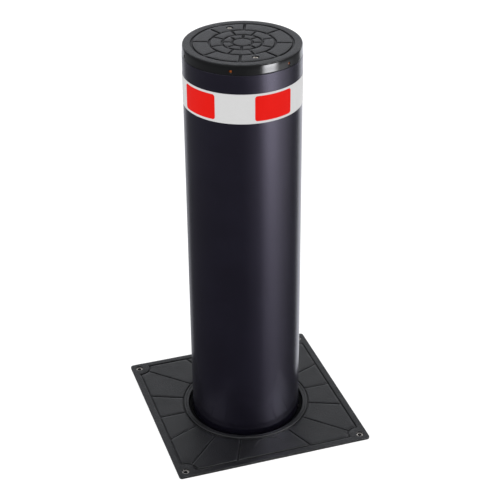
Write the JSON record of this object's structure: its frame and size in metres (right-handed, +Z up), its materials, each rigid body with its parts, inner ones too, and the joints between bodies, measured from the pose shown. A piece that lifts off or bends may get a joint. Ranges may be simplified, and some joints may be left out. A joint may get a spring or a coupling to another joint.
{
  "type": "rising bollard",
  "caption": "Round security bollard that slides down flush with a square cast cover plate, with its sunk steel casing and electric screw lift.",
  "frame": {"origin": "centre of the casing's flat underside; the ground, at the cover plate's top face, is 1.113 m above it", "axes": "+Z up along the stem; X and Y along the cover plate's edges; the plate's raised arc is on the -Y side and the drain spigot points to -X"},
  "size_m": [0.396, 0.396, 1.907],
  "materials": {
    "stem_paint": "satin dark violet-black enamel over steel",
    "cap_paint": "semi-gloss black over cast aluminium",
    "cast_plate": "matt black coat over a fine-grained casting",
    "white_film": "retro-reflective film, fine bead grain",
    "red_film": "retro-reflective film, fine bead grain",
    "amber_lens": "clear amber polycarbonate",
    "rubber": "matt",
    "stainless": "turned and washed",
    "zinc": "hot-dip galvanised, spangled",
    "steel": "machined, oiled",
    "bearing_steel": "ground",
    "chrome_rod": "hard chrome, polished",
    "alloy": "turned, anodised clear",
    "bronze": "machined bronze",
    "white_polymer": "natural sliding polymer",
    "orange_polymer": "cast polyurethane",
    "black_polymer": "moulded, fine texture",
    "grey_polymer": "moulded, fine texture",
    "motor_paint": "grey machine enamel",
    "copper_winding": "lacquered winding",
    "board_green": "solder mask",
    "belt_rubber": "matt",
    "lead_jacket": "matt jacket"
  },
  "bodies": {
    "housing": {"casing_panels": "zinc", "casing_frame": "zinc", "casing_base": "zinc", "anchor_lugs": "zinc", "drain_spigot": "zinc", "drain_grate": "stainless", "conduit_gland": "black_polymer", "earth_stud": "stainless", "cover_plate": "cast_plate", "plate_screws": "stainless", "wiper_seal": "rubber", "carrier_plate": "zinc", "guide_tube": "steel", "guide_bushes": "white_polymer", "guide_rails": "steel", "frame_screws": "stainless", "base_plate": "zinc", "bump_stops": "rubber", "actuator_tube": "alloy", "actuator_screws": "stainless", "rod_gland": "steel", "bearing_housing": "alloy", "screw_bearings": "bearing_steel", "motor_flange": "alloy", "motor_housing": "motor_paint", "motor_stator": "copper_winding", "motor_screws": "stainless", "brake_cover": "motor_paint", "drive_belt": "belt_rubber", "belt_cover": "black_polymer", "sensor_strip": "zinc", "limit_sensors": "stainless", "junction_box": "grey_polymer", "junction_lid": "grey_polymer", "lead_glands": "black_polymer", "motor_lead": "lead_jacket", "lamp_feed": "lead_jacket", "lamp_lead": "lead_jacket"},
    "stem": {"stem_tube": "stem_paint", "stem_collar": "steel", "stop_ring": "orange_polymer", "guide_shoes": "white_polymer", "sensor_flag": "zinc", "head_plate": "steel", "screw_bosses": "steel", "head_cap": "cap_paint", "cap_gasket": "rubber", "cap_screws": "stainless", "led_board": "board_green", "led_lenses": "amber_lens", "reflective_band": "white_film", "red_patches": "red_film", "push_rod": "chrome_rod", "rod_bolts": "stainless", "drive_nut": "bronze"},
    "screw": {"drive_screw": "bearing_steel", "screw_pulley": "alloy"},
    "motor_shaft": {"motor_rotor": "steel", "motor_pulley": "alloy"}
  },
  "joints": [
    {"name": "lift", "type": "slide", "parent": "housing", "child": "stem", "axis": [0, 0, 1], "range_m": [-0.794, 0], "deforming": ["lamp_lead"]},
    {"name": "screw_turn", "type": "hinge", "parent": "housing", "child": "screw", "pos_m": [0, 0, 0.12], "axis": [0, 0, 1], "range_deg": [0, 7200]},
    {"name": "motor_turn", "type": "hinge", "parent": "housing", "child": "motor_shaft", "pos_m": [0.118, 0.118, 0.12], "axis": [0, 0, 1], "range_deg": [0, 11520]}
  ],
  "couplings": [
    {"joint": "screw_turn", "follows": "lift", "rad_per_m": -157.08},
    {"joint": "motor_turn", "follows": "lift", "rad_per_m": -251.33}
  ]
}
